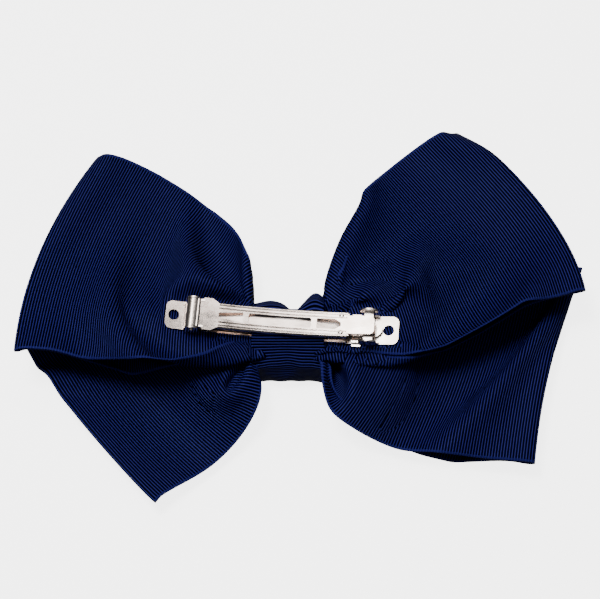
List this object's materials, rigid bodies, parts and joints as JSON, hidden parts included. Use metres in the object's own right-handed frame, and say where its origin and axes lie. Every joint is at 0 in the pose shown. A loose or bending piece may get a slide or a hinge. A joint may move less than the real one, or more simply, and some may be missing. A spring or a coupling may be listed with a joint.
{
  "type": "cheer hair bow",
  "caption": "Large navy grosgrain ribbon bow with two stacked pairs of loops and a wrapped knot, on a sprung metal clip barrette.",
  "frame": {"origin": "middle of the flat front face of the knot, which the bow lies on", "axes": "+X along the loops to the right as seen from the back, +Y up the bow, +Z from the front of the bow towards the barrette and the head"},
  "size_m": [0.1994, 0.1343, 0.0257],
  "materials": {
    "navy_grosgrain": "ribbed satin sheen",
    "navy_thread": "matte",
    "hot_melt_glue": "milky",
    "nickel_plated_steel": "bright plated"
  },
  "bodies": {
    "bow": {"upper_loop_ribbon": "navy_grosgrain", "lower_loop_ribbon": "navy_grosgrain", "center_wrap_ribbon": "navy_grosgrain", "binding_thread": "navy_thread", "glue_pad": "hot_melt_glue", "barrette_base": "nickel_plated_steel", "hinge_pin": "nickel_plated_steel", "catch_spring": "nickel_plated_steel", "catch_rivet": "nickel_plated_steel"},
    "clasp_arm": {"clasp_arm": "nickel_plated_steel"},
    "tension_bow": {"tension_bow": "nickel_plated_steel"},
    "release_lever_upper": {"release_lever_upper": "nickel_plated_steel"},
    "release_lever_lower": {"release_lever_lower": "nickel_plated_steel"}
  },
  "joints": [
    {"name": "arm_hinge", "type": "hinge", "parent": "bow", "child": "clasp_arm", "pos_m": [-0.03251, 0.0047, 0.02295], "axis": [-0.0785, -0.9969, 0], "range_deg": [0, 60]},
    {"name": "tension_bow_hinge", "type": "hinge", "parent": "bow", "child": "tension_bow", "pos_m": [-0.03251, 0.0047, 0.02295], "axis": [-0.0785, -0.9969, 0], "range_deg": [0, 15]},
    {"name": "upper_lever_flex", "type": "hinge", "parent": "bow", "child": "release_lever_upper", "pos_m": [0.02642, 0.00231, 0.01964], "axis": [0.9851, -0.0775, 0.1535], "range_deg": [0, 4], "stiffness_Nm_per_rad": 0.05},
    {"name": "lower_lever_flex", "type": "hinge", "parent": "bow", "child": "release_lever_lower", "pos_m": [0.02607, -0.00215, 0.01964], "axis": [-0.9851, 0.0775, -0.1535], "range_deg": [0, 4], "stiffness_Nm_per_rad": 0.05}
  ],
  "couplings": [
    {"joint": "tension_bow_hinge", "follows": "arm_hinge", "ratio": 0.25}
  ]
}
